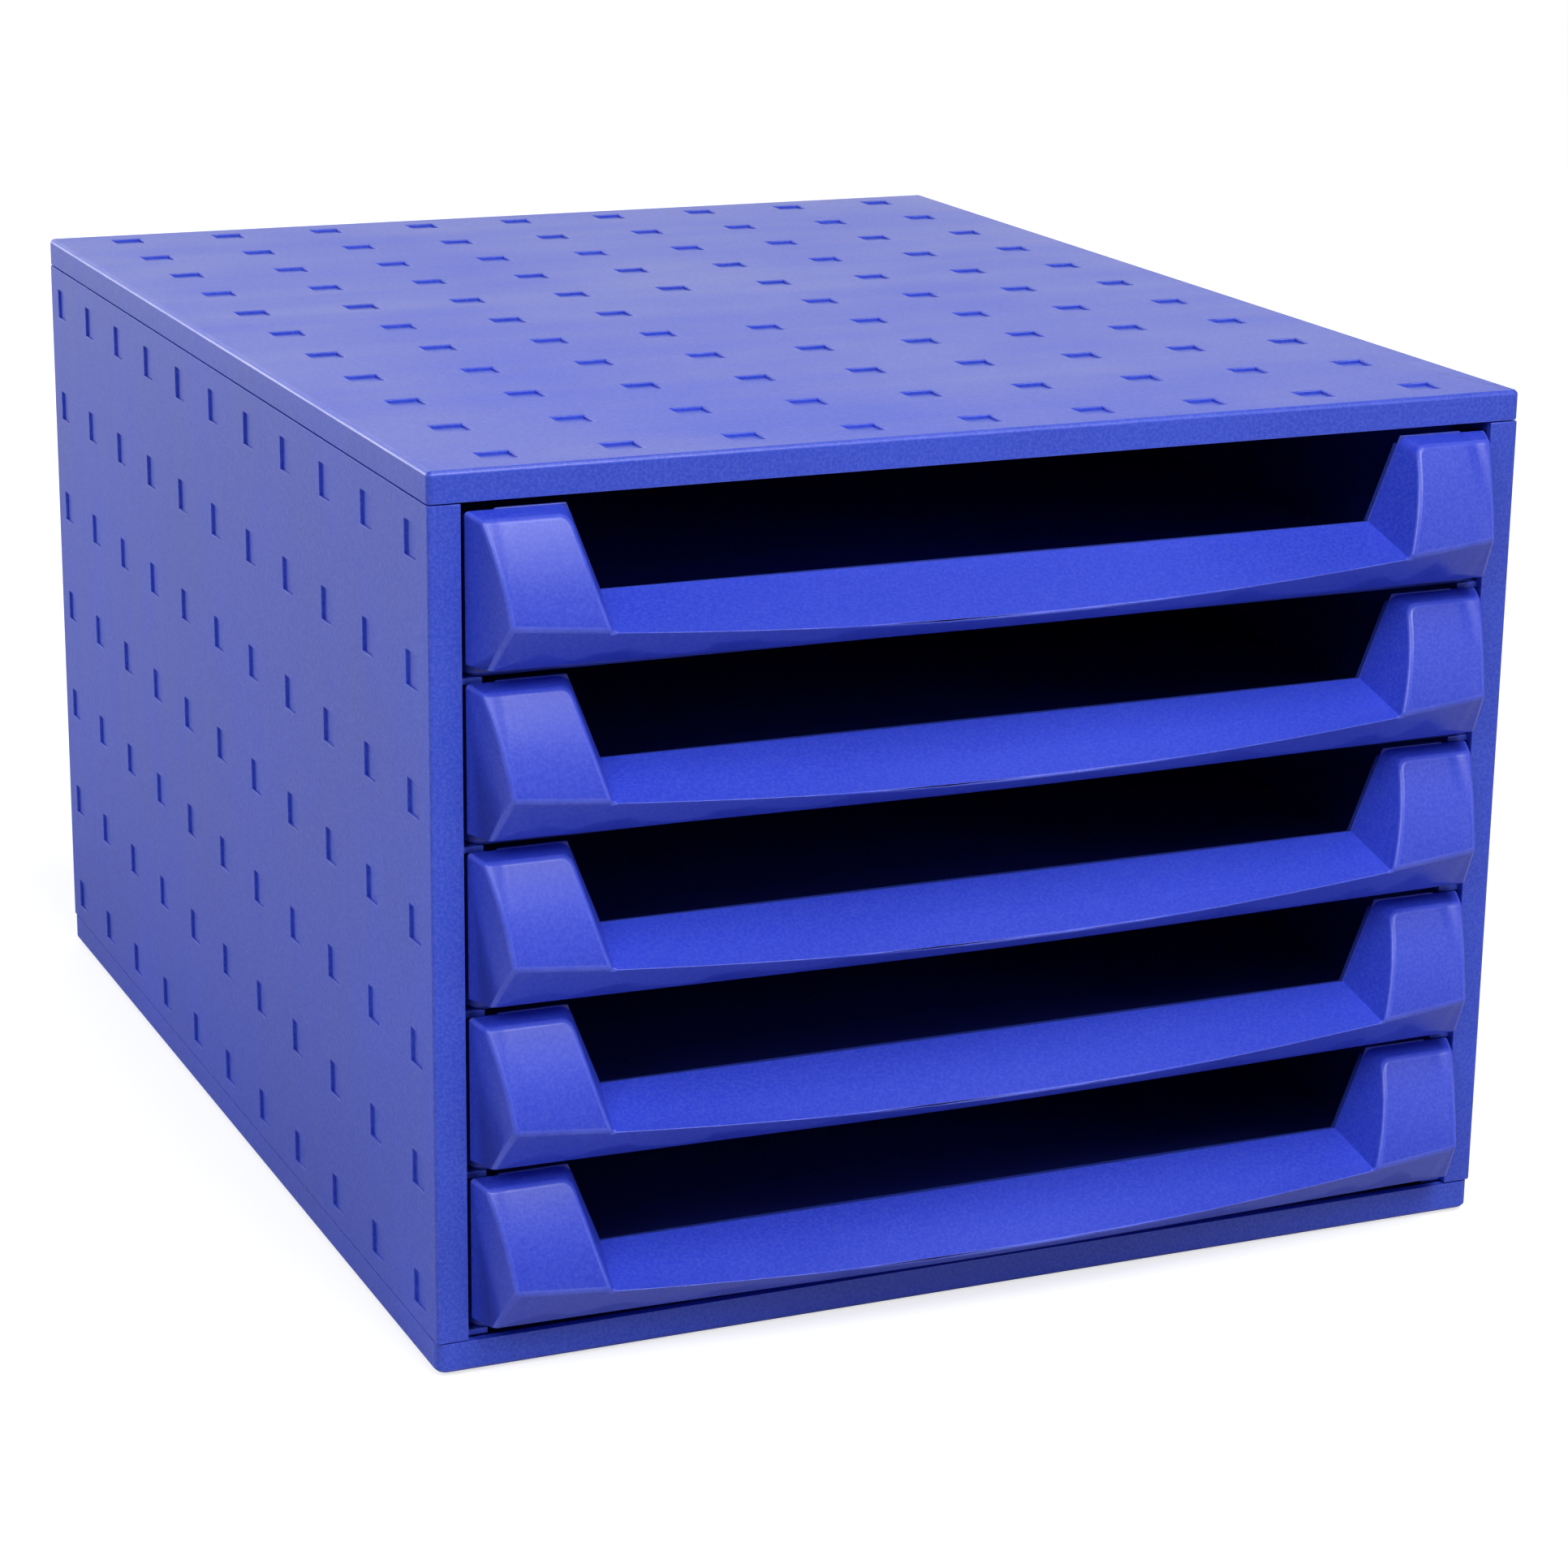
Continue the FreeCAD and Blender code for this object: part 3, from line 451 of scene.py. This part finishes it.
# %% Rubber for the pads
DUST_PER_METRE = 700
DUST_RANGE = (0.4, 0.75)
CLEAN_RUBBER = (0.012, 0.012, 0.014, 1)
DUSTY_RUBBER = (0.045, 0.045, 0.05, 1)
CLEAN_ROUGHNESS = 0.7
DUSTY_ROUGHNESS = 0.9
DUST_STRENGTH = 0.4
DUST_DEPTH = 0.05 * MM


def soft_rubber(name):
    """Dark rubber with a little dust in its grain."""
    material, tree, rubber = new_material(name)
    place = tree.nodes.new("ShaderNodeTexCoord").outputs["Object"]
    dust = noise(tree, place, DUST_PER_METRE, detail=3, roughness=0.7)
    dust = remap(tree, dust, *DUST_RANGE, 0, 1)
    colour = mix_colour(tree, dust, CLEAN_RUBBER, DUSTY_RUBBER)
    tree.links.new(colour, rubber.inputs["Base Color"])
    roughness = remap(tree, dust, 0, 1, CLEAN_ROUGHNESS, DUSTY_ROUGHNESS)
    tree.links.new(roughness, rubber.inputs["Roughness"])
    bump_by(tree, dust, DUST_STRENGTH, DUST_DEPTH, rubber)
    print(f"material {name}: {len(tree.nodes)} nodes")
    return material


pad_rubber = soft_rubber("pad_rubber")


# %% [markdown]
# ## Rounded copies of the moulded pieces
#
# No moulded edge is sharp. Each edge catches the light in a fine line, and these lines are what
# the eye reads as plastic. A bevel on the sharp edges of a merged copy makes them, and the copy
# then stands for its CAD node. A Bevel modifier has one width for all the edges that it finds. The
# bevel operator is chosen, because it takes a different radius for each set of edges. Panels, trays
# and pads take one small bevel on every edge that stands out.
#
# The edges are chosen in code: each is asked for its middle and for the angle between its faces,
# which is positive where the edge stands out. The bevel gives its new faces another material
# number: one for a rounded edge, two for an edge that hands rub all day and that is paler still.
# That number is afterwards turned into the mark that the paler colour reads, a painted highlight
# on the edges together with their wear.

# %% Round edges chosen by a test
def round_where(piece, wanted, radius, segments, mark=ROUNDED, clamp=False, slide=False):
    """Rounds the edges whose middle and angle pass a test."""
    select_only(piece)
    bpy.ops.object.mode_set(mode="EDIT")
    bpy.ops.mesh.select_mode(type="EDGE")
    bpy.ops.mesh.select_all(action="DESELECT")
    mesh = bmesh.from_edit_mesh(piece.data)
    count = 0
    for edge in mesh.edges:
        middle = (edge.verts[0].co + edge.verts[1].co) / 2
        if wanted(middle, degrees(edge.calc_face_angle_signed(0))):
            edge.select_set(True)
            count += 1
    bmesh.update_edit_mesh(piece.data)
    bpy.ops.mesh.bevel(
        offset=radius,
        segments=segments,
        affect="EDGES",
        clamp_overlap=clamp,
        loop_slide=slide,
        miter_outer="SHARP",
        material=mark,
    )
    bpy.ops.object.mode_set(mode="OBJECT")
    print(f"{piece.name}: {count} edges rounded to {radius / MM:.2f} mm")


# %% [markdown]
# The drawer fronts need different radii: nearly a millimetre round the cheeks, more at their upper
# inner corners, and much less along the thin crest of the lip. The clips behind the cheeks are
# left as they are. The faces along the crest that look forward are marked as well, so they take
# the paler colour: a painted highlight along the crest, together with wear from hands.
#
# An edge is found by how far it is from the middle plane, how far it reaches in front of the
# casing and how high it is above the foot of the front.

# %% Where the edges of a drawer front are
casing_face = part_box("left_side_panel")[0].y
CHEEK = 103 * MM
CHEEK_BACK = -0.5 * MM
CHEEK_FOOT = 0.2 * MM
CREST = 14.5 * MM
CREST_END = CHEEK + 0.6 * MM
CREST_FORWARD = -0.93
CORNER_END = 112 * MM
CORNER_HEIGHT = 34 * MM
CORNER_REACH = (1 * MM, 3 * MM)
CLIP_ACROSS = (110.5 * MM, 123.5 * MM)
CLIP_HEIGHT = (19.6 * MM, 24.1 * MM)
CLIP_REACH = 14 * MM
print(f"cheeks from {CHEEK:.3f} m out, crest from {CREST:.4f} m in front of y {casing_face:.4f} m")

# %% Round a drawer front
CORNER_RADIUS = 2.2 * MM
CHEEK_RADIUS = 0.9 * MM
CREST_RADIUS = 0.22 * MM
FRONT_SHARP = 25


def round_front(piece, foot):
    """Rounds the cheeks, their top corners and the crest of the lip of a drawer front."""

    def top_corner(middle, angle):
        reach = casing_face - middle.y
        at_top = middle.z > foot + CORNER_HEIGHT and CORNER_REACH[0] < reach < CORNER_REACH[1]
        return angle > FRONT_SHARP and at_top and abs(middle.x) < CORNER_END

    def on_clip(across, reach, height):
        beside = CLIP_ACROSS[0] < across < CLIP_ACROSS[1] and reach < CLIP_REACH
        return beside and foot + CLIP_HEIGHT[0] < height < foot + CLIP_HEIGHT[1]

    def cheek(middle, angle):
        across, reach = abs(middle.x), casing_face - middle.y
        on_cheek = across > CHEEK and reach > CHEEK_BACK and middle.z > foot + CHEEK_FOOT
        return angle > FRONT_SHARP and on_cheek and not on_clip(across, reach, middle.z)

    def crest(middle, angle):
        reach = casing_face - middle.y
        return angle > FRONT_SHARP and abs(middle.x) < CREST_END and reach > CREST

    round_where(piece, top_corner, CORNER_RADIUS, segments=3, mark=PLAIN)
    round_where(piece, cheek, CHEEK_RADIUS, segments=3)
    round_where(piece, crest, CREST_RADIUS, segments=2, mark=RUBBED_AND_HIGHLIT)
    # Forward faces on the crest take the pale blue too: a painted highlight along the crest, and
    # wear.
    for face in piece.data.polygons:
        on_crest = abs(face.center.x) < CHEEK and casing_face - face.center.y > CREST
        if on_crest and face.normal.y < CREST_FORWARD:
            face.material_index = RUBBED_AND_HIGHLIT


# %% [markdown]
# ## Shading, and standing for a node
#
# Faces that nearly agree are shaded as one curved surface, and normals weighted by area keep the
# broad faces level beside their small bevels. Then the bevel's numbers become the mark "edge", and
# the copy takes its node's place: it rides on the same body, so it moves with the same joint.

# %% Finish a copy
SMOOTH = radians(32)


def finish_surface(piece):
    """Smooth where faces nearly agree, level where they are flat."""
    select_only(piece)
    bpy.ops.object.shade_smooth_by_angle(angle=SMOOTH)
    weigh = piece.modifiers.new("even_normals", "WEIGHTED_NORMAL")
    weigh.keep_sharp = True
    bpy.ops.object.modifier_apply(modifier=weigh.name)
    triangles = sum(len(face.vertices) - 2 for face in piece.data.polygons)
    print(f"{piece.name}: {triangles} triangles")


def mark_edges(piece):
    """Keeps each face's level of painted edge highlight and wear as an attribute, resets material
    numbers.
    """
    rubbed_and_highlit = [float(face.material_index) for face in piece.data.polygons]
    mark = piece.data.attributes.new(EDGE_MARK, "FLOAT", "FACE")
    mark.data.foreach_set("value", rubbed_and_highlit)
    for face in piece.data.polygons:
        face.material_index = PLAIN


def give_material(piece, material):
    """Gives a piece one material all over."""
    piece.data.materials.clear()
    piece.data.materials.append(material)


# %% Put a copy in its node's place
STANDS_OUT = 28


def stands_out(middle, angle):
    """Whether an edge is a sharp one that stands out, wherever it is."""
    return angle > STANDS_OUT


def take_place(piece, node, material, body):
    """Gives a copy its surface and lets it stand for its node on its body."""
    finish_surface(piece)
    mark_edges(piece)
    give_material(piece, material)
    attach(piece, body)
    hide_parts(node)


def dress(node, radius, material, body):
    """A copy of a node with every edge that stands out rounded alike."""
    piece = merged_copy(node, f"{node}_moulded")
    round_where(piece, stands_out, radius, segments=2, clamp=True, slide=True)
    take_place(piece, node, material, body)


# %% [markdown]
# ## The pieces
#
# The casing's panels and the trays have edges that the mould rounds only a little, and the rubber
# pads have softer ones. The back panel is flat and its edges are inside the casing's rim, so it
# keeps its CAD mesh and only takes the plastic.

# %% The casing's panels
PANEL_RADIUS = 0.3 * MM

for panel in ("top_panel", "bottom_panel", "left_side_panel", "right_side_panel"):
    dress(panel, PANEL_RADIUS, casing_plastic, "casing")
give_material(nodes["back_panel"], casing_plastic)

# %% The pads
PAD_RADIUS = 0.5 * MM

for node in nodes:
    if node.startswith("foot_"):
        dress(node, PAD_RADIUS, pad_rubber, "casing")

# %% The trays and the fronts
TRAY_RADIUS = 0.3 * MM

for body in sorted(frame["bodies"]):
    if body.startswith("drawer_"):
        count = body.removeprefix("drawer_")
        dress(f"drawer_tray_{count}", TRAY_RADIUS, tray_plastic, body)
        front = f"drawer_front_{count}"
        moulding = merged_copy(front, f"{front}_moulded")
        round_front(moulding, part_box(front)[0].z)
        take_place(moulding, front, front_plastic, body)

# %% [markdown]
# ## Floor and light
#
# The unit stands on white paper in a studio. Two soft lights high in front make the fronts bright
# and leave the inside of the drawers black, and one on the left and one on the right reach the
# flanks. The sheen on the top is the bright background, seen at a flat angle, and a low light
# behind on the left gives the left side its sheen.
#
# Paper lit until it is pure white would throw pale light all over the unit. So the paper and the
# far background are grey to the unit and glow only for the camera, which is what Is Camera Ray
# tells apart.

# %% Floor
FLOOR_SIZE = 12.0
PAPER = (0.55, 0.55, 0.55, 1)
PAPER_ROUGHNESS = 0.9
WHITE = (1, 1, 1, 1)
PAPER_GLOW = 0.7

bpy.ops.object.select_all(action="DESELECT")
bpy.ops.mesh.primitive_plane_add(size=FLOOR_SIZE, location=(0, 0, 0))
floor = bpy.context.object
floor.name = "floor"
paper, paper_tree, sheet = new_material("studio_paper")
sheet.inputs["Base Color"].default_value = PAPER
sheet.inputs["Roughness"].default_value = PAPER_ROUGHNESS
sheet.inputs["Emission Color"].default_value = WHITE
seen = paper_tree.nodes.new("ShaderNodeLightPath").outputs["Is Camera Ray"]
glow = calculate(paper_tree, "MULTIPLY", seen, PAPER_GLOW)
paper_tree.links.new(glow, sheet.inputs["Emission Strength"])
give_material(floor, paper)
print(f"floor {FLOOR_SIZE} m square")


# %% Lights
def soft_light(name, place, width, height, power):
    """A soft light that faces the unit."""
    lamp = bpy.data.lights.new(name, "AREA")
    lamp.shape = "RECTANGLE"
    lamp.size = width
    lamp.size_y = height
    lamp.energy = power
    light = bpy.data.objects.new(name, lamp)
    bpy.context.scene.collection.objects.link(light)
    light.location = place
    light.rotation_euler = (casing_middle - Vector(place)).to_track_quat("-Z", "Y").to_euler()
    print(f"{name}: {power} W, {width} by {height} m")


soft_light("high_light", (0.3, -1.2, 2.4), width=1.4, height=1.4, power=32)
soft_light("key_light", (0.5, -1.9, 2.0), width=1.1, height=1.1, power=18)
soft_light("left_light", (-1.6, -1.6, 1.7), width=1.2, height=1.2, power=22)
soft_light("right_light", (1.7, -1.7, 0.7), width=1.2, height=1.0, power=5)
soft_light("bright_background", (0, 3.5, 1.6), width=6.0, height=2.7, power=60)
soft_light("low_background", (-1.4, 1.8, 0.6), width=1.6, height=0.9, power=22)

# %% Far background
FAR_LIGHT = 0.02

world = bpy.data.worlds.new("studio")
bpy.context.scene.world = world
world.use_nodes = True
far = world.node_tree.nodes["Background"]
far.inputs["Color"].default_value = WHITE
seen = world.node_tree.nodes.new("ShaderNodeLightPath").outputs["Is Camera Ray"]
strength = remap(world.node_tree, seen, 0, 1, FAR_LIGHT, 1)
world.node_tree.links.new(strength, far.inputs["Strength"])
bpy.context.scene.view_settings.view_transform = "Standard"
print(f"far background: strength {FAR_LIGHT} to the unit, 1 to the camera")
